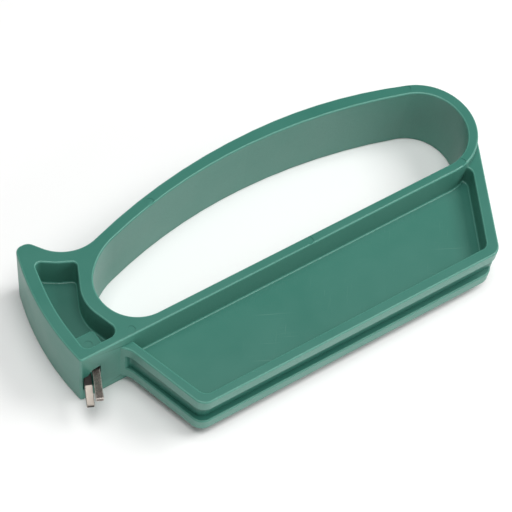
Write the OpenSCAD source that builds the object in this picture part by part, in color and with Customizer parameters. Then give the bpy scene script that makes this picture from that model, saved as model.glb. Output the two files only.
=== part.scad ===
// Pull-through V sharpener: a moulded hand grip with a finger guard, and two
// crossed carbide cutters under the nose. It lies on its side, as stored.
// X runs along the lower bar from nose to heel, Y from guard to grip, and Z
// through the thickness, from the face it lies on. The origin is under the
// middle of its box. All sizes are in millimetres.

/* [Grip and nose] */
// Length of the moulding, from the nose's lower corner to the heel
body_len = 136.8; // [130:0.1:145]
// Height of the grip above the underside of the lower bar
grip_h = 40; // [38:0.5:44]
// Thickness of the grip, nose and bar
body_t = 23; // [20:0.5:26]
// Radius of the heel, outside
heel_r = 16.3; // [15.5:0.1:17]
// Thickness of the lower bar
bar_t = 2.7; // [2.4:0.1:3.2]
// Thickness of the strap round the heel
heel_t = 3.3; // [2.8:0.1:3.6]
// Thickness of the strap at the top of the grip
arch_t = 3.8; // [3:0.1:4.5]

/* [Finger guard] */
// Depth of the guard below the bar, at its rear corner
guard_h = 26.4; // [25:0.2:28]
// How much less deep the guard is at its front corner
guard_taper = 1.1; // [0:0.1:2]
// Thickness of the guard over its two rims
guard_t = 15.8; // [15:0.1:17.5]
// Width of the rim along the bottom edge, at the rear
rim_w = 3.2; // [2.8:0.1:3.6]
// Thickness of the web between the two recesses
web_t = 2; // [1.6:0.1:3]
// Width of the groove between the two rims
groove_w = 6.9; // [5:0.1:8]
// Depth of the groove
groove_d = 1.8; // [1:0.1:1.9]

/* [Cutters] */
// Thickness of a cutter
cutter_t = 2.1; // [1.8:0.05:2.2]
// Width of a cutter
cutter_w = 2.8; // [2.4:0.1:3]
// Length of a cutter below the screw
cutter_drop = 12.3; // [11:0.1:13]
// Length of a cutter above the screw
cutter_rise = 3.2; // [2.6:0.1:3.4]
// Angle by which the cutters sweep forward
rake = 23; // [18:1:25]
// Angle by which each cutter leans to its own side
lean = 4.5; // [3:0.5:6]
// Angle of the ground bevel on the inner edge
bevel = 15.5; // [12:0.5:16]
// Length of the ground bevel
bevel_len = 5; // [4:0.1:5.5]

/* [Cutter screw] */
// Diameter of the shank
screw_d = 2.2; // [2:0.1:2.4]
// Diameter of the head
head_d = 4.2; // [3.6:0.1:4.4]
// Height of the head
head_h = 1.5; // [1.2:0.1:1.8]
// Length of the shank under the head
shank_len = 12.6; // [11:0.1:13]

/* [Hidden] */
$fn = 96;
eps = 0.5;                       // how far a cutting shape runs past a face
arc_step = 4;                    // largest turn between two points of a curve, degrees
mid_z = body_t / 2;

// Heel and the two arches over the finger hole, all tangent to each other.
heel_c = [body_len - heel_r, heel_r];
outer_peak_x = 78;
inner_peak_x = 74;
hole_r = heel_r - heel_t;
function arch_r(peak_x, top, r) =
    let (d = heel_c[0] - peak_x, h = top - heel_c[1])
    (d * d + h * h - r * r) / (2 * (h - r));
function arch_turn(peak_x, top, r) =
    atan2(heel_c[0] - peak_x, heel_c[1] - top + arch_r(peak_x, top, r));
outer_r = arch_r(outer_peak_x, grip_h, heel_r);
outer_turn = arch_turn(outer_peak_x, grip_h, heel_r);
hole_top = grip_h - arch_t;
inner_r = arch_r(inner_peak_x, hole_top, hole_r);
inner_turn = arch_turn(inner_peak_x, hole_top, hole_r);

// Outlines: each row is a corner and the radius that rounds it.
nose_x = -0.4;                   // lower front corner of the nose
tip_y = grip_h - 2.1;
outer_outline = [
    [nose_x, 0, 0.9],
    [body_len, 0, heel_r],
    [body_len, heel_r + heel_r * tan((90 - outer_turn) / 2), heel_r],
    [outer_peak_x + outer_r * tan(outer_turn / 2), grip_h, outer_r],
    [48.65, grip_h, 171],        // front of the arch, falling towards the nose
    [12.9, grip_h - 12.4, 12.2], // hollow for the thumb
    [4.9, tip_y, 2],
    [1.35, tip_y, 1.2],          // tip
    [-3.75, 18.5, 78]            // bowed front face
];
hole_x = 13.2;
hole_front_r = 11.5;
hole_outline = [
    [hole_x, bar_t, hole_front_r],
    [body_len - heel_t, bar_t, hole_r],
    [body_len - heel_t, heel_r + hole_r * tan((90 - inner_turn) / 2), hole_r],
    [inner_peak_x + inner_r * tan(inner_turn / 2), hole_top, inner_r],
    [49.13, hole_top, 151],
    [19.75, hole_top - 9.9, 20.9],
    [hole_x, bar_t + 15.82, hole_front_r]
];
guard_front_x = 21.4;
guard_rear_x = 117.6;
// Height of the guard's sloping bottom edge at x.
function guard_foot(x) = guard_taper * (guard_rear_x - x) / (guard_rear_x - guard_front_x) - guard_h;
guard_outline = [
    [8, bar_t / 2, 0],
    [8, 0, 0],
    [12.9, 0, 2.5],
    [guard_front_x, guard_foot(guard_front_x), 4],
    [guard_rear_x, guard_foot(guard_rear_x), 4],
    [135, 9.1, 0],
    [128, bar_t / 2, 0]
];
rim_front_w = rim_w - 0.6;
pan_outline = [
    [15.6, 0, 0.6],
    [23.6, guard_foot(23.6) + rim_front_w, 3],
    [115.4, guard_foot(115.4) + rim_w, 2.5],
    [127.6, 0, 2.5]
];
// What stands between the grooves' two floors.
groove_core = [
    [14.3, 1, 0],
    [14.3, 0, 0],
    [22.5, guard_foot(22.5) + groove_d, 3],
    [140, guard_foot(140) + groove_d, 0],
    [140, 1, 0]
];
pocket_outline = [
    [3.4, 32.2, 1.2],
    [1.1, 17, 60],
    [2.3, 2.4, 2],
    [13, 2.4, 2.2],
    [8.3, 15, 12],
    [13.4, 26.6, 1.4],
    [8.6, 28.8, 10]
];
housing_outline = [
    [1, 1.5, 0],
    [8.7, 1.5, 0],
    [8.2, 8.8, 0.8],
    [1, 8.8, 0]
];
housing_drop = 4.6;              // how far the housing's faces lie below the sides
// Mouth of the cutter slots, seen on the underside of the nose: X and Z.
mouth_outline = [
    [0.25, 6, 0],
    [5.8, 6, 0],
    [5.6, body_t - 7.8, 0],
    [3.1, body_t - 8.3, 0],
    [0.25, body_t - 12.8, 0]
];
mouth_h = 2.2;

// Cutters: both turn about the screw, which crosses them at the pivot.
pivot = [4.6, 3.85, mid_z];
cutter_gap = 0.3;
slot_play = 0.08;
cutter_shift = (cutter_t + cutter_gap) / 2;
notch_r = screw_d / 2 + slot_play;
counterbore_d = head_d + 0.6;
drive_w = 0.5;
drive_len = 2.4;
drive_d = 0.9;

body_color = [0.33, 0.57, 0.50];
front_color = [0.76, 0.71, 0.64];
rear_color = [0.42, 0.38, 0.36];
screw_color = [0.72, 0.72, 0.70];

// Points of one rounded corner at p, between a and b.
function corner(a, p, b) =
    let (
        u = (a - p) / norm(a - p),
        v = (b - p) / norm(b - p),
        turn = acos(max(-1, min(1, -(u * v)))),
        side = sign(u[0] * v[1] - u[1] * v[0]),
        along = p[2] * tan(turn / 2),
        start = [p[0], p[1]] + along * [u[0], u[1]],
        centre = start + p[2] * side * [-u[1], u[0]],
        first = atan2(start[1] - centre[1], start[0] - centre[0]),
        steps = max(1, ceil(turn / arc_step))
    )
    p[2] == 0
        ? [[p[0], p[1]]]
        : [for (i = [0:steps])
            centre + p[2] * [cos(first - side * turn * i / steps), sin(first - side * turn * i / steps)]];

function flat(p) = [p[0], p[1], 0];

function rounded(outline) =
    let (n = len(outline))
    [for (i = [0:n - 1])
        let (a = flat(outline[(i + n - 1) % n]), b = flat(outline[(i + 1) % n]), p = outline[i])
        each corner([a[0], a[1], p[2]], p, [b[0], b[1], p[2]])];

// Box of the whole object, from the lowest front corner of a cutter to the
// heel, and from the lowest point of the guard to the top of the grip.
box_x0 = pivot[0] - (cutter_shift + cutter_t / 2) * cos(rake) - cutter_drop * cos(lean) * sin(rake);
box_y0 = min([for (p = rounded(guard_outline)) p[1]]);
box_mid = [(box_x0 + body_len) / 2, (grip_h + box_y0) / 2, 0];

// A prism over a rounded outline, from z0 up to z1.
module plate(outline, z0, z1) {
    translate([0, 0, z0])
        linear_extrude(z1 - z0)
            polygon(rounded(outline));
}

// The same cut from each side face, leaving everything between z0 and z1.
module from_both_sides(outline, z0, z1) {
    plate(outline, -eps, z0);
    plate(outline, z1, body_t + eps);
}

// One cutter on its own axes: X through its thickness, Y along it, and Z
// across it. Its bevel is at the lower end, on the side towards +Z.
module cutter_blank(play) {
    half_w = cutter_w / 2 + play;
    foot = -cutter_drop - play;
    rotate([0, 90, 0])
        linear_extrude(cutter_t + 2 * play, center = true)
            polygon([
                [half_w, foot],
                [half_w, cutter_rise + play],
                [-half_w, cutter_rise + play],
                [-half_w, foot + bevel_len],
                [-half_w + bevel_len * tan(bevel), foot]
            ]);
}

// Puts a cutter in place; the rear one is the same piece turned half round.
module at_cutter(half_turn) {
    translate(pivot)
        rotate([0, 0, -rake])
            rotate([0, half_turn, 0])
                rotate([lean, 0, 0])
                    translate([-cutter_shift, 0, 0])
                        children();
}

module cutter(half_turn) {
    difference() {
        at_cutter(half_turn)
            cutter_blank(0);
        translate([pivot[0], pivot[1], -eps])
            cylinder(r = notch_r, h = body_t + 2 * eps);
    }
}

// The body is one moulding: grip, nose, lower bar and guard.
module body_shell() {
    difference() {
        union() {
            plate(outer_outline, 0, body_t);
            plate(guard_outline, mid_z - guard_t / 2, mid_z + guard_t / 2);
        }
        plate(hole_outline, -eps, body_t + eps);
        from_both_sides(pocket_outline, mid_z - web_t / 2, mid_z + web_t / 2);
        from_both_sides(pan_outline, mid_z - web_t / 2, mid_z + web_t / 2);
        guard_groove();
    }
}

// Groove along the guard's front end and bottom edge.
module guard_groove() {
    difference() {
        translate([0, -guard_h - 2 * eps, mid_z - groove_w / 2])
            cube([body_len, guard_h + 2 * eps, groove_w]);
        plate(groove_core, 0, body_t);
        plate([[0, -0.4, 0], [13.6, -0.4, 0], [13.6, 2, 0], [0, 2, 0]], 0, body_t);
    }
}

// Moves a piece from the drawing's corner to the middle of the object's box.
module in_frame(colour) {
    color(colour)
        translate(-box_mid)
            children();
}

module body() {
    in_frame(body_color)
        difference() {
            union() {
                body_shell();
                plate(housing_outline, housing_drop, body_t - housing_drop);
            }
            for (half_turn = [0, 180])
                at_cutter(half_turn)
                    translate([0, slot_play, 0])
                        cutter_blank(slot_play);
            translate([0, mouth_h, 0])
                rotate([90, 0, 0])
                    linear_extrude(mouth_h + eps)
                        polygon(rounded(mouth_outline));
            translate([pivot[0], pivot[1], housing_drop - eps])
                cylinder(d = screw_d + slot_play, h = shank_len + 2 * eps);
            translate([pivot[0], pivot[1], -eps])
                cylinder(d = counterbore_d, h = housing_drop + eps);
        }
}

module front_cutter() {
    in_frame(front_color)
        cutter(0);
}

module rear_cutter() {
    in_frame(rear_color)
        cutter(180);
}

// The screw is driven from the face that the tool lies on.
module cutter_screw() {
    in_frame(screw_color)
        translate([pivot[0], pivot[1], housing_drop])
            difference() {
                union() {
                    cylinder(d = screw_d, h = shank_len);
                    translate([0, 0, -head_h])
                        cylinder(d = head_d, h = head_h);
                }
                for (a = [0, 90])
                    rotate([0, 0, a + 20])
                        translate([-drive_len / 2, -drive_w / 2, -head_h - eps])
                            cube([drive_len, drive_w, drive_d + eps]);
            }
}

body();
front_cutter();
rear_cutter();
cutter_screw();
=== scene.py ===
from math import acos, atan2, ceil, copysign, cos, radians, sin, tan

import bmesh
import bpy
from mathutils import Matrix, Vector


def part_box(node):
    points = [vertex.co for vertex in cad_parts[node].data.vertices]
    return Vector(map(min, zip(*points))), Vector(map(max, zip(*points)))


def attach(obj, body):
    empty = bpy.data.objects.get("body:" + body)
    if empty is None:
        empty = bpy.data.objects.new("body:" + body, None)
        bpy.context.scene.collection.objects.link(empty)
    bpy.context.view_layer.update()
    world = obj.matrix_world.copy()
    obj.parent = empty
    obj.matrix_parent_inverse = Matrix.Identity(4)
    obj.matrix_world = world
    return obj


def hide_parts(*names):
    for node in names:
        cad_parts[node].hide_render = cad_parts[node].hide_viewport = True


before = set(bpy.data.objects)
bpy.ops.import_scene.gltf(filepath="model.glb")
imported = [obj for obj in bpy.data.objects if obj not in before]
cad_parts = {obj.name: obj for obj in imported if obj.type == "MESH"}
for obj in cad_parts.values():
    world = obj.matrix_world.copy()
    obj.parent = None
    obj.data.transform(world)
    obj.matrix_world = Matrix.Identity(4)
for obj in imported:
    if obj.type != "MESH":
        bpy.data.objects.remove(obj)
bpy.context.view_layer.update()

bpy.ops.object.select_all(action="DESELECT")


# ---------------------------------------------------------------------------
# Studio. A plain white table under three soft boxes, with the camera over the
# nose end, looking down across the tool. None of it belongs to the sharpener.
# ---------------------------------------------------------------------------
table_size = 6.0
bpy.ops.mesh.primitive_plane_add(size=table_size, location=(0, 0, 0))
table = bpy.context.object
table.name = "table"
table_paint = bpy.data.materials.new("table_paint")
table_paint.use_nodes = True
table_shader = table_paint.node_tree.nodes["Principled BSDF"]
table_shader.inputs["Base Color"].default_value = (0.86, 0.86, 0.855, 1)
table_shader.inputs["Roughness"].default_value = 0.7
table.data.materials.append(table_paint)


def soft_box(name, place, aim, size, power, tint=(1, 1, 1)):
    """A square area light at a place, turned towards the point it lights."""
    bpy.ops.object.light_add(type="AREA", location=place)
    light = bpy.context.object
    light.name = name
    light.data.size = size
    light.data.energy = power
    light.data.color = tint
    light.rotation_euler = (Vector(aim) - Vector(place)).to_track_quat("-Z", "Y").to_euler()


soft_box("key_box", (0.55, -0.20, 0.75), (0, 0, 0), 0.45, 5)
soft_box("top_box", (-0.06, -0.06, 1.00), (0, 0, 0), 0.5, 6)
soft_box("front_box", (0.10, -0.85, 0.30), (0, 0, 0.01), 0.5, 1.8)

room = bpy.data.worlds.new("room")
room.use_nodes = True
room.node_tree.nodes["Background"].inputs["Color"].default_value = (1, 1, 1, 1)
room.node_tree.nodes["Background"].inputs["Strength"].default_value = 0.25
bpy.context.scene.world = room
bpy.context.scene.view_settings.view_transform = "Standard"

bpy.ops.object.camera_add(
    location=(-0.1580, -0.1727, 0.3919),
    rotation=(radians(31.0), radians(-4.99), radians(-32.54)),
)
camera = bpy.context.object
camera.name = "camera"
camera.data.sensor_width = 36
camera.data.lens = 112.5
bpy.context.scene.camera = camera


# ---------------------------------------------------------------------------
# Body. One injection moulding in green plastic: the grip round the finger
# hole, the nose that holds the cutters, the lower bar, and the finger guard
# with a recess in each side and a groove along its free edges.
# ---------------------------------------------------------------------------
mm = 0.001
body_low, body_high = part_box("body")
grip_h = 40.0                    # top of the grip above the bar's underside
body_len = 136.8                 # heel to the nose's lower corner
body_t = body_high.z / mm
mid_z = body_t / 2
drawing_x = body_high.x - body_len * mm
drawing_y = body_high.y - grip_h * mm


def rounded(outline, step=radians(3)):
    """Points along corners (x, y, radius), each corner rounded by an arc."""
    points = []
    for index, (x, y, radius) in enumerate(outline):
        corner = Vector((x, y))
        back = (Vector(outline[index - 1][:2]) - corner).normalized()
        ahead = (Vector(outline[(index + 1) % len(outline)][:2]) - corner).normalized()
        if radius == 0:
            points.append(corner)
            continue
        turn = acos(-back.dot(ahead))
        side = copysign(1, back.x * ahead.y - back.y * ahead.x)
        start = corner + back * radius * tan(turn / 2)
        centre = start + Vector((-back.y, back.x)) * radius * side
        first = atan2(start.y - centre.y, start.x - centre.x)
        steps = max(1, ceil(turn / step))
        for i in range(steps + 1):
            angle = first - side * turn * i / steps
            points.append(centre + radius * Vector((cos(angle), sin(angle))))
    return points


def plate(name, outline, low_z, high_z):
    """A flat slab over a rounded outline, from one height to another, in mm."""
    points = rounded(outline)
    bpy.ops.object.select_all(action="DESELECT")
    bpy.ops.mesh.primitive_circle_add(vertices=len(points), fill_type="NGON")
    slab = bpy.context.object
    slab.name = name
    for vertex, (x, y) in zip(slab.data.vertices, points):
        vertex.co = (drawing_x + x * mm, drawing_y + y * mm, low_z * mm)
    bpy.ops.object.mode_set(mode="EDIT")
    bpy.ops.mesh.select_all(action="SELECT")
    rise = {"value": (0, 0, (high_z - low_z) * mm)}
    bpy.ops.mesh.extrude_region_move(TRANSFORM_OT_translate=rise)
    bpy.ops.mesh.select_all(action="SELECT")
    bpy.ops.mesh.remove_doubles(threshold=0.002 * mm)
    bpy.ops.mesh.normals_make_consistent(inside=False)
    bpy.ops.object.mode_set(mode="OBJECT")
    return slab


def combine(piece, other, operation):
    """Joins, cuts or crosses a piece with another, which is used up."""
    modifier = piece.modifiers.new("combine", "BOOLEAN")
    modifier.operation = operation
    modifier.solver = "EXACT"
    modifier.object = other
    bpy.ops.object.select_all(action="DESELECT")
    bpy.context.view_layer.objects.active = piece
    piece.select_set(True)
    bpy.ops.object.modifier_apply(modifier="combine")
    bpy.data.objects.remove(other)


past_face = 1.0                  # how far a cutting tool stands out of a face


def cut_both_sides(piece, outline, floor_t):
    """Sinks the same recess from both faces, down to a floor between them."""
    near_sink = plate("near_sink", outline, mid_z + floor_t / 2, body_t + past_face)
    combine(piece, near_sink, "DIFFERENCE")
    far_sink = plate("far_sink", outline, -past_face, mid_z - floor_t / 2)
    combine(piece, far_sink, "DIFFERENCE")


# Heel and the two arches over the finger hole, all tangent to each other.
heel_r = 16.3
heel_t = 3.3
bar_t = 2.7
arch_t = 3.8


def arch(peak_x, top, end_r):
    """Radius and turn of an arch that peaks at peak_x and runs into the heel."""
    across = body_len - heel_r - peak_x
    up = top - heel_r
    radius = (across ** 2 + up ** 2 - end_r ** 2) / (2 * (up - end_r))
    return radius, atan2(across, heel_r - top + radius)


outer_peak_x = 78
outer_r, outer_turn = arch(outer_peak_x, grip_h, heel_r)
hole_top = grip_h - arch_t
hole_r = heel_r - heel_t
inner_peak_x = 74
inner_r, inner_turn = arch(inner_peak_x, hole_top, hole_r)
quarter = radians(90)

# Outlines are corners (x, y, radius) in mm, counter-clockwise from the nose.
outer_outline = [
    (-0.4, 0, 0.9),
    (body_len, 0, heel_r),
    (body_len, heel_r + heel_r * tan((quarter - outer_turn) / 2), heel_r),
    (outer_peak_x + outer_r * tan(outer_turn / 2), grip_h, outer_r),
    (48.65, grip_h, 171),
    (12.9, 27.6, 12.2),
    (5.0, 38.3, 2.8),
    (1.15, 38.3, 2.2),
    (-3.75, 18.5, 78),
]
hole_x = body_len - heel_t
hole_outline = [
    (13.2, bar_t, 11.5),
    (hole_x, bar_t, hole_r),
    (hole_x, heel_r + hole_r * tan((quarter - inner_turn) / 2), hole_r),
    (inner_peak_x + inner_r * tan(inner_turn / 2), hole_top, inner_r),
    (49.13, hole_top, 151),
    (19.75, 26.3, 20.9),
    (13.2, 18.52, 11.5),
]


guard_front_x = 21.4             # lower corners of the guard
guard_rear_x = 117.6
guard_h = 26.4                   # depth of the guard at its rear corner
guard_taper = 1.1                # how much less deep it is at the front one


def guard_foot(x):
    """Height of the guard's bottom edge, which falls a little to the rear."""
    return guard_taper * (guard_rear_x - x) / (guard_rear_x - guard_front_x) - guard_h


guard_t = 15.8
web_t = 2.0
groove_w = 6.9
groove_d = 1.8
guard_outline = [
    (10.3, bar_t / 2, 0),
    (13.55, -2.15, 6),
    (guard_front_x, guard_foot(guard_front_x), 4),
    (guard_rear_x, guard_foot(guard_rear_x), 4),
    (134.5, 6.75, 1),
    (132.7, 9.6, 0),
    (127.8, 3.6, 0),
    (120.5, bar_t / 2, 0),
]
recess_outline = [
    (14.9, bar_t / 2, 0),
    (23.6, guard_foot(23.6) + 2.6, 3),
    (115.4, guard_foot(115.4) + 3.2, 2.5),
    (128.4, 1.9, 2.5),
    (124, 1.9, 0),
    (122, bar_t / 2, 0),
]
groove_outline = [
    (14.3, -0.95, 0.8),
    (22.5, guard_foot(22.5) + groove_d, 3),
    (140, guard_foot(140) + groove_d, 0),
    (140, -40, 0),
    (-10, -40, 0),
    (-10, -0.95, 0),
]
pocket_outline = [
    (3.4, 32.2, 1.3),
    (1.1, 17, 60),
    (2.3, 2.4, 2),
    (13, 2.4, 2.2),
    (8.3, 15, 12),
    (13.4, 26.6, 1.4),
    (8.6, 28.8, 10),
]
housing_outline = [(1, 1.5, 0), (8.7, 1.5, 0), (8.2, 8.8, 1.2), (1, 8.8, 0)]
housing_drop = 4.6

guard = plate("guard", guard_outline, mid_z - guard_t / 2, mid_z + guard_t / 2)
cut_both_sides(guard, recess_outline, web_t)
groove = plate("groove", groove_outline, mid_z - groove_w / 2, mid_z + groove_w / 2)
combine(guard, groove, "DIFFERENCE")
body = plate("body_moulding", outer_outline, 0, body_t)
combine(body, guard, "UNION")
hole = plate("hole", hole_outline, -past_face, body_t + past_face)
combine(body, hole, "DIFFERENCE")
cut_both_sides(body, pocket_outline, web_t)
housing = plate("housing", housing_outline, housing_drop, body_t - housing_drop)
combine(body, housing, "UNION")

# Flat faces that the cuts split are made whole. Then the outer edges that run
# along the outlines, and the corners round the recess floors, get the small
# radius that a mould leaves.
weld = 0.005
flat = radians(0.5)
sharp = radians(60)
same_height = 0.01
edge_r = 0.5
bpy.ops.object.mode_set(mode="EDIT")
bpy.ops.mesh.select_all(action="SELECT")
bpy.ops.mesh.remove_doubles(threshold=weld * mm)
bpy.ops.mesh.dissolve_limited(angle_limit=flat)
bpy.ops.mesh.select_mode(type="EDGE")
bpy.ops.mesh.select_all(action="DESELECT")
bpy.ops.mesh.edges_select_sharp(sharpness=sharp)
cage = bmesh.from_edit_mesh(body.data)
for edge in cage.edges:
    along = edge.verts[1].co - edge.verts[0].co
    upright = abs(along.z) > along.length / 2
    off_middle = abs(edge.verts[0].co.z / mm - mid_z)
    on_floor = abs(off_middle - web_t / 2) < same_height
    if upright or not (edge.is_convex or on_floor):
        edge.select = False
bpy.ops.mesh.bevel(offset=edge_r * mm, segments=4, affect="EDGES", clamp_overlap=False)
bpy.ops.mesh.select_mode(type="VERT")
bpy.ops.object.mode_set(mode="OBJECT")

# Cutter slots. Both cutters are the same bar: each leans to its own side of
# the middle, sweeps forward, and sits in a close slot that opens in a mouth.
pivot = Vector((4.6, 3.85, mid_z))
rake = radians(23)
lean = radians(4.5)
cutter_t = 2.1
cutter_w = 2.8
cutter_drop = 12.3               # below the pivot
cutter_rise = 3.2                # above it
cutter_gap = 0.3                 # between the two where they cross
cutter_shift = (cutter_t + cutter_gap) / 2
slot_play = 0.08
half_round = radians(180)


def put_cutter_in(piece, half_turn):
    """Carries a piece made on the cutter's own axes to the cutter's place."""
    place = Vector((drawing_x, drawing_y, 0)) + pivot * mm
    piece.matrix_world = (
        Matrix.Translation(place)
        @ Matrix.Rotation(-rake, 4, "Z")
        @ Matrix.Rotation(half_turn, 4, "Y")
        @ Matrix.Rotation(lean, 4, "X")
        @ Matrix.Translation((-cutter_shift * mm, 0, 0))
    )
    bpy.ops.object.select_all(action="DESELECT")
    bpy.context.view_layer.objects.active = piece
    piece.select_set(True)
    bpy.ops.object.transform_apply(location=True, rotation=True, scale=True)


def cutter_block(name, play):
    """The square bar a cutter is ground from, or with play the slot for it."""
    length = cutter_drop + cutter_rise + 2 * play
    bpy.ops.object.select_all(action="DESELECT")
    bpy.ops.mesh.primitive_cube_add(size=1)
    block = bpy.context.object
    block.name = name
    block.scale = ((cutter_t + 2 * play) * mm, length * mm, (cutter_w + 2 * play) * mm)
    block.location = (0, (cutter_rise - cutter_drop) / 2 * mm, 0)
    bpy.ops.object.transform_apply(location=True, rotation=True, scale=True)
    return block


for half_turn in (0, half_round):
    slot = cutter_block("slot", slot_play)
    put_cutter_in(slot, half_turn)
    combine(body, slot, "DIFFERENCE")

# The mouth round the cutters, as corners (x, z) on the bar's underside.
mouth_outline = [(0.25, 6), (5.8, 6), (5.6, 15.2), (3.1, 14.7), (0.25, 10.2)]
mouth_h = 2.2
bpy.ops.object.select_all(action="DESELECT")
bpy.ops.mesh.primitive_circle_add(vertices=len(mouth_outline), fill_type="NGON")
mouth = bpy.context.object
for vertex, (x, z) in zip(mouth.data.vertices, mouth_outline):
    vertex.co = (drawing_x + x * mm, drawing_y - past_face * mm, z * mm)
bpy.ops.object.mode_set(mode="EDIT")
bpy.ops.mesh.select_all(action="SELECT")
climb = {"value": (0, (mouth_h + past_face) * mm, 0)}
bpy.ops.mesh.extrude_region_move(TRANSFORM_OT_translate=climb)
bpy.ops.mesh.select_all(action="SELECT")
bpy.ops.mesh.normals_make_consistent(inside=False)
bpy.ops.object.mode_set(mode="OBJECT")
combine(body, mouth, "DIFFERENCE")


def drill(piece, x, y, radius, low_z, high_z, sides=48):
    """Sinks a round hole through a piece along the tool's thickness, in mm."""
    bpy.ops.object.select_all(action="DESELECT")
    bpy.ops.mesh.primitive_cylinder_add(
        vertices=sides,
        radius=radius * mm,
        depth=(high_z - low_z) * mm,
        location=(drawing_x + x * mm, drawing_y + y * mm, (high_z + low_z) / 2 * mm),
    )
    combine(piece, bpy.context.object, "DIFFERENCE")


# The screw's bore and the counterbore for its head.
screw_d = 2.2
head_d = 4.2
head_h = 1.5
head_play = 0.6
shank_len = 12.6
bore_r = (screw_d + slot_play) / 2
bore_more = 0.5
shank_top = housing_drop + shank_len
drill(body, pivot.x, pivot.y, bore_r, housing_drop - bore_more, shank_top + bore_more)
drill(body, pivot.x, pivot.y, (head_d + head_play) / 2, -past_face, housing_drop)

# Marks that the ejector pins left, one on the housing and five on each face.
pin_r = 1.2
pin_mark = 0.14
pin_places = ((15.6, 1.6), (71.5, 1.35), (124, 1.6), (125.1, 30.4), (40, 33.4))
drill(body, 4.9, 5.4, pin_r, body_t - housing_drop - pin_mark, body_t, sides=32)
for x, y in pin_places:
    drill(body, x, y, pin_r, body_t - pin_mark, body_t + past_face, sides=32)
    drill(body, x, y, pin_r, -past_face, pin_mark, sides=32)

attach(body, "root")
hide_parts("body")


def finish_shading(piece, crease):
    """Smooth shading up to the crease angle, with the flat faces kept flat."""
    bpy.ops.object.select_all(action="DESELECT")
    bpy.context.view_layer.objects.active = piece
    piece.select_set(True)
    bpy.ops.object.shade_smooth_by_angle(angle=crease)
    facing = piece.modifiers.new("flat_faces_stay_flat", "WEIGHTED_NORMAL")
    facing.keep_sharp = True
    bpy.ops.object.modifier_apply(modifier="flat_faces_stay_flat")


crease = radians(32)
finish_shading(body, crease)

# The fillets carry a mask of their own, which takes a painted highlight where their curve catches
# the light.
nearly_upright = 0.08
nearly_level = 0.97
# Painted highlight mask: 1 on the fillet faces, 0 elsewhere.
painted_fillet_highlight = body.data.attributes.new("painted_fillet_highlight", "FLOAT", "POINT")
for face in body.data.polygons:
    if nearly_upright < abs(face.normal.z) < nearly_level:
        for index in face.vertices:
            painted_fillet_highlight.data[index].value = 1.0


def add(tree, kind, place, **values):
    """A node of one kind, at a place on the sheet, with its input values set."""
    node = tree.nodes.new(kind)
    node.location = place
    for name, value in values.items():
        node.inputs[name.replace("_", " ")].default_value = value
    return node


def new_group(name, inputs, outputs):
    """An empty shader group with named float or colour sockets."""
    group = bpy.data.node_groups.new(name, "ShaderNodeTree")
    for title, kind, value in inputs:
        socket = group.interface.new_socket(title, in_out="INPUT", socket_type=kind)
        socket.default_value = value
    for title, kind in outputs:
        group.interface.new_socket(title, in_out="OUTPUT", socket_type=kind)
    entry = group.nodes.new("NodeGroupInput")
    entry.location = (-900, 0)
    leave = group.nodes.new("NodeGroupOutput")
    leave.location = (700, 0)
    return group, entry.outputs, leave.inputs


number = "NodeSocketFloat"

# Fine scratches: noise stretched until it is streaks, thinned to the few that show.
scratch_group, given, put = new_group(
    "fine_scratches",
    [
        ("Angle", number, 0.5),
        ("Length", number, 60.0),
        ("Width", number, 2600.0),
        ("Amount", number, 0.5),
    ],
    [("Mask", number)],
)
coords = add(scratch_group, "ShaderNodeTexCoord", (-900, -250))
turn = add(scratch_group, "ShaderNodeVectorRotate", (-700, -250))
turn.rotation_type = "Z_AXIS"
stretch = add(scratch_group, "ShaderNodeVectorMath", (-500, -250))
stretch.operation = "MULTIPLY"
sizes = add(scratch_group, "ShaderNodeCombineXYZ", (-700, -450))
streak = add(scratch_group, "ShaderNodeTexNoise", (-300, -250), Scale=1.0, Detail=2.0, Roughness=0.5)
patch = add(scratch_group, "ShaderNodeTexNoise", (-300, -500), Scale=70.0, Detail=1.0)
thin = add(scratch_group, "ShaderNodeMapRange", (-100, -250), From_Min=0.70, From_Max=0.76)
where = add(scratch_group, "ShaderNodeMapRange", (-100, -500), From_Min=0.5, From_Max=0.62)
both = add(scratch_group, "ShaderNodeMath", (150, -300))
both.operation = "MULTIPLY"
scaled = add(scratch_group, "ShaderNodeMath", (350, -300))
scaled.operation = "MULTIPLY"
link = scratch_group.links.new
link(coords.outputs["Object"], turn.inputs["Vector"])
link(given["Angle"], turn.inputs["Angle"])
link(turn.outputs[0], stretch.inputs[0])
link(given["Length"], sizes.inputs["X"])
link(given["Width"], sizes.inputs["Y"])
link(given["Length"], sizes.inputs["Z"])
link(sizes.outputs[0], stretch.inputs[1])
link(stretch.outputs[0], streak.inputs["Vector"])
link(coords.outputs["Object"], patch.inputs["Vector"])
link(streak.outputs[0], thin.inputs["Value"])
link(patch.outputs[0], where.inputs["Value"])
link(thin.outputs[0], both.inputs[0])
link(where.outputs[0], both.inputs[1])
link(both.outputs[0], scaled.inputs[0])
link(given["Amount"], scaled.inputs[1])
link(scaled.outputs[0], put["Mask"])

# Surface unevenness: a broad blotch for colour and gloss, and a fine grain.
skin_group, given, put = new_group(
    "surface_skin",
    [("Blotch Scale", number, 60.0), ("Grain Scale", number, 2200.0)],
    [("Blotch", number), ("Grain", number)],
)
coords = add(skin_group, "ShaderNodeTexCoord", (-900, -250))
blotch = add(skin_group, "ShaderNodeTexNoise", (-400, 0), Detail=4.0, Roughness=0.6)
grain = add(skin_group, "ShaderNodeTexNoise", (-400, -300), Detail=3.0, Roughness=0.65)
link = skin_group.links.new
link(coords.outputs["Object"], blotch.inputs["Vector"])
link(coords.outputs["Object"], grain.inputs["Vector"])
link(given["Blotch Scale"], blotch.inputs["Scale"])
link(given["Grain Scale"], grain.inputs["Scale"])
link(blotch.outputs[0], put["Blotch"])
link(grain.outputs[0], put["Grain"])


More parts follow.
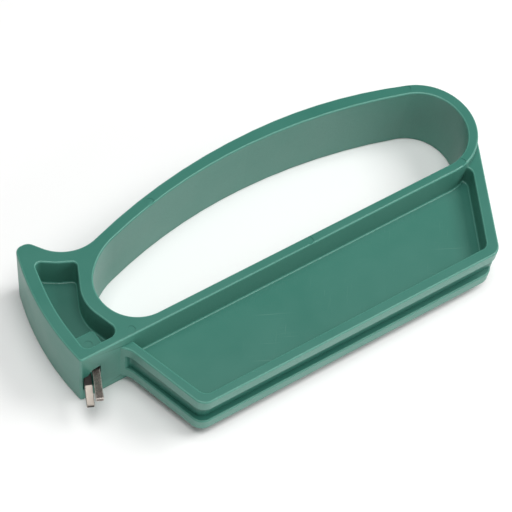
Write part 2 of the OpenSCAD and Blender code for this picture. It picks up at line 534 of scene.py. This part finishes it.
def place_group(tree, group, place, **values):
    """One use of a shader group in a material, with its own values."""
    node = add(tree, "ShaderNodeGroup", place)
    node.node_tree = group
    for name, value in values.items():
        node.inputs[name.replace("_", " ")].default_value = value
    return node


def mix_colours(tree, place, first, second):
    """A colour mix whose two colours are set and whose factor is left open."""
    node = add(tree, "ShaderNodeMix", place)
    node.data_type = "RGBA"
    for socket, colour in ((node.inputs[6], first), (node.inputs[7], second)):
        if colour is not None:
            socket.default_value = (*colour, 1)
    return node


green = bpy.data.materials.new("green_plastic")
green.use_nodes = True
tree = green.node_tree
shader = tree.nodes["Principled BSDF"]
shader.inputs["IOR"].default_value = 1.49
skin = place_group(tree, skin_group, (-1100, 0), Blotch_Scale=45.0, Grain_Scale=2400.0)
pigment = mix_colours(tree, (-700, 200), (0.022, 0.140, 0.104), (0.030, 0.166, 0.125))
edge = add(tree, "ShaderNodeAttribute", (-1100, -250))
edge.attribute_name = "painted_fillet_highlight"
patchy = add(tree, "ShaderNodeTexNoise", (-1100, -450), Scale=350.0, Detail=3.0)
# The painted highlight on the fillets, broken into patches by noise.
highlight_patches = add(tree, "ShaderNodeMath", (-850, -350))
highlight_patches.operation = "MULTIPLY"
highlight_amount = add(tree, "ShaderNodeMath", (-650, -350))
highlight_amount.operation = "MULTIPLY"
highlight_amount.inputs[1].default_value = 1.1
# A lighter green on the fillets: painted highlight, not a colour of the plastic.
highlighted = mix_colours(tree, (-450, 200), None, (0.11, 0.33, 0.26))
long_marks = place_group(
    tree, scratch_group, (-700, -600), Angle=0.45, Length=45.0, Width=2600.0, Amount=0.3
)
short_marks = place_group(
    tree, scratch_group, (-700, -800), Angle=-0.9, Length=110.0, Width=3200.0, Amount=0.25
)
marks = add(tree, "ShaderNodeMath", (-450, -650))
marks.operation = "MAXIMUM"
marked = mix_colours(tree, (-250, 200), None, (0.15, 0.32, 0.26))
gloss = add(
    tree, "ShaderNodeMapRange", (-450, -100), From_Min=0.3, From_Max=0.7, To_Min=0.33, To_Max=0.45
)
dull = add(tree, "ShaderNodeMath", (-250, -150))
dull.operation = "MULTIPLY_ADD"
dull.inputs[1].default_value = 0.15
relief = add(tree, "ShaderNodeMath", (-250, -450))
relief.operation = "MULTIPLY_ADD"
relief.inputs[1].default_value = -1.2
bump = add(tree, "ShaderNodeBump", (-50, -400), Strength=0.35, Distance=0.00002)
link = tree.links.new
link(skin.outputs["Blotch"], pigment.inputs[0])
link(pigment.outputs[2], highlighted.inputs[6])
link(edge.outputs["Fac"], highlight_patches.inputs[0])
link(patchy.outputs[0], highlight_patches.inputs[1])
link(highlight_patches.outputs[0], highlight_amount.inputs[0])
link(highlight_amount.outputs[0], highlighted.inputs[0])
link(long_marks.outputs["Mask"], marks.inputs[0])
link(short_marks.outputs["Mask"], marks.inputs[1])
link(highlighted.outputs[2], marked.inputs[6])
link(marks.outputs[0], marked.inputs[0])
link(marked.outputs[2], shader.inputs["Base Color"])
link(skin.outputs["Blotch"], gloss.inputs["Value"])
link(marks.outputs[0], dull.inputs[0])
link(gloss.outputs[0], dull.inputs[2])
link(dull.outputs[0], shader.inputs["Roughness"])
link(marks.outputs[0], relief.inputs[0])
link(skin.outputs["Grain"], relief.inputs[2])
link(relief.outputs[0], bump.inputs["Height"])
link(bump.outputs[0], shader.inputs["Normal"])
body.data.materials.clear()
body.data.materials.append(green)


# ---------------------------------------------------------------------------
# Front cutter. A sintered carbide bar with one ground bevel, which makes one
# side of the V. It sits in a slot of the nose, and the screw passes through a
# half-round notch in it.
# ---------------------------------------------------------------------------
bevel = radians(15.5)
bevel_len = 5.0
honed_edge = 0.2
cutter_crease = radians(25)
along_axis = 0.99                # least normal part of a face square to an axis
along_bevel = 0.97               # and of a face that lies on the ground bevel


def carbide(name, flank, ground, flank_gloss, ground_gloss):
    """Two finishes for one cutter: its sintered flanks and its ground bevel, in colours given per
    cutter, with painted shade in the front one's flank and a painted highlight in the rear one's
    ground.
    """
    finishes = []
    for part, colour, gloss in (("flank", flank, flank_gloss), ("ground", ground, ground_gloss)):
        finish = bpy.data.materials.new(name + "_" + part)
        finish.use_nodes = True
        tree = finish.node_tree
        shader = tree.nodes["Principled BSDF"]
        shader.inputs["Metallic"].default_value = 0.75
        skin = place_group(tree, skin_group, (-900, 0), Blotch_Scale=900.0, Grain_Scale=9000.0)
        lines = place_group(
            tree, scratch_group, (-900, -300), Angle=0.4, Length=500.0, Width=14000.0, Amount=0.8
        )
        darker = tuple(c * 0.72 for c in colour)
        lighter = tuple(min(1, c * 1.3) for c in colour)
        body_tone = mix_colours(tree, (-600, 200), darker, colour)
        lined = mix_colours(tree, (-350, 200), None, lighter)
        rough = add(tree, "ShaderNodeMapRange", (-350, -100), From_Min=0.3, From_Max=0.7)
        rough.inputs["To Min"].default_value = gloss - 0.06
        rough.inputs["To Max"].default_value = gloss + 0.08
        bump = add(tree, "ShaderNodeBump", (-150, -350), Strength=0.4, Distance=0.000008)
        link = tree.links.new
        link(skin.outputs["Blotch"], body_tone.inputs[0])
        link(body_tone.outputs[2], lined.inputs[6])
        link(lines.outputs["Mask"], lined.inputs[0])
        link(lined.outputs[2], shader.inputs["Base Color"])
        link(skin.outputs["Blotch"], rough.inputs["Value"])
        link(rough.outputs[0], shader.inputs["Roughness"])
        link(skin.outputs["Grain"], bump.inputs["Height"])
        link(bump.outputs[0], shader.inputs["Normal"])
        finishes.append(finish)
    return finishes


def make_cutter(node, half_turn, finishes):
    """Grinds a bar, hones its edges, notches it and seats it."""
    piece = cutter_block(node + "_bar", 0)
    start = Vector((0, (bevel_len - cutter_drop) * mm, cutter_w / 2 * mm))
    ground_side = Vector((0, -sin(bevel), cos(bevel)))
    bpy.ops.object.mode_set(mode="EDIT")
    bpy.ops.mesh.select_all(action="SELECT")
    bpy.ops.mesh.bisect(plane_co=start, plane_no=ground_side, use_fill=True, clear_outer=True)
    bpy.ops.mesh.select_all(action="SELECT")
    bpy.ops.mesh.normals_make_consistent(inside=False)
    bpy.ops.object.mode_set(mode="OBJECT")
    softened = piece.modifiers.new("honed_edges", "BEVEL")
    softened.width = honed_edge * mm
    softened.segments = 3
    softened.limit_method = "ANGLE"
    softened.angle_limit = bevel / 2
    bpy.ops.object.modifier_apply(modifier="honed_edges")

    # The ground finish goes on the bevel and on the honed edges: on all of
    # them on the turned cutter, and below the bevel's start on the other.
    # On the front cutter the honed edges above the bevel's start keep the near-black flank colour:
    # painted shade inside the slot.
    for finish in finishes:
        piece.data.materials.append(finish)
    for face in piece.data.polygons:
        on_tip = half_turn > 0 or face.center.y < start.y
        honed = on_tip and max(abs(component) for component in face.normal) < along_axis
        ground = face.normal.dot(ground_side) > along_bevel
        face.material_index = 1 if honed or ground else 0
    put_cutter_in(piece, half_turn)
    notch_r = screw_d / 2 + slot_play
    drill(piece, pivot.x, pivot.y, notch_r, -past_face, body_t + past_face)
    finish_shading(piece, cutter_crease)
    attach(piece, "root")
    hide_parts(node)


# The front cutter's flank colour is near black: painted shade of the slot and mouth it sits in.
make_cutter(
    "front_cutter", 0,
    carbide("front", (0.03, 0.026, 0.024), (0.40, 0.36, 0.315), 0.6, 0.5),
)


# ---------------------------------------------------------------------------
# Rear cutter. The same carbide bar turned half round, with its flank polished,
# which makes the other side of the V. The same screw holds it in its own slot.
# ---------------------------------------------------------------------------
# The rear cutter's ground colour is lighter than the front cutter's: a painted highlight along its
# honed edges, which all carry it.
make_cutter(
    "rear_cutter", half_round,
    carbide("rear", (0.25, 0.21, 0.19), (0.60, 0.55, 0.50), 0.26, 0.3),
)


# ---------------------------------------------------------------------------
# Cutter screw. A small zinc-plated screw with a cheese head and a cross
# recess, sunk in the lower face; it locks both cutters in their slots.
# ---------------------------------------------------------------------------
head_low = housing_drop - head_h
rolled_edge = 0.12
cross_size = (2.4, 0.5, 1.8)
cross_turns = (20, 110)
screw_x = drawing_x + pivot.x * mm
screw_y = drawing_y + pivot.y * mm
bpy.ops.object.select_all(action="DESELECT")
bpy.ops.mesh.primitive_cylinder_add(
    vertices=48,
    radius=screw_d / 2 * mm,
    depth=shank_len * mm,
    location=(screw_x, screw_y, (housing_drop + shank_len / 2) * mm),
)
screw = bpy.context.object
screw.name = "cutter_screw_plated"
bpy.ops.object.transform_apply(location=True, rotation=True, scale=True)
bpy.ops.object.select_all(action="DESELECT")
bpy.ops.mesh.primitive_cylinder_add(
    vertices=48,
    radius=head_d / 2 * mm,
    depth=head_h * mm,
    location=(screw_x, screw_y, (housing_drop - head_h / 2) * mm),
)
combine(screw, bpy.context.object, "UNION")
for turn_degrees in cross_turns:
    bpy.ops.object.select_all(action="DESELECT")
    bpy.ops.mesh.primitive_cube_add(
        size=1,
        scale=[side * mm for side in cross_size],
        location=(screw_x, screw_y, head_low * mm),
        rotation=(0, 0, radians(turn_degrees)),
    )
    combine(screw, bpy.context.object, "DIFFERENCE")
softened = screw.modifiers.new("rolled_edges", "BEVEL")
softened.width = rolled_edge * mm
softened.segments = 2
softened.limit_method = "ANGLE"
softened.angle_limit = radians(40)
bpy.ops.object.modifier_apply(modifier="rolled_edges")
zinc = bpy.data.materials.new("zinc_plate")
zinc.use_nodes = True
tree = zinc.node_tree
shader = tree.nodes["Principled BSDF"]
shader.inputs["Metallic"].default_value = 1.0
skin = place_group(tree, skin_group, (-700, 0), Blotch_Scale=700.0, Grain_Scale=8000.0)
plate_tone = mix_colours(tree, (-400, 200), (0.42, 0.42, 0.40), (0.60, 0.60, 0.57))
rough = add(
    tree, "ShaderNodeMapRange", (-400, -100), From_Min=0.3, From_Max=0.7, To_Min=0.25, To_Max=0.4
)
bump = add(tree, "ShaderNodeBump", (-200, -350), Strength=0.3, Distance=0.000006)
link = tree.links.new
link(skin.outputs["Blotch"], plate_tone.inputs[0])
link(plate_tone.outputs[2], shader.inputs["Base Color"])
link(skin.outputs["Blotch"], rough.inputs["Value"])
link(rough.outputs[0], shader.inputs["Roughness"])
link(skin.outputs["Grain"], bump.inputs["Height"])
link(bump.outputs[0], shader.inputs["Normal"])
screw.data.materials.clear()
screw.data.materials.append(zinc)
finish_shading(screw, crease)
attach(screw, "root")
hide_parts("cutter_screw")
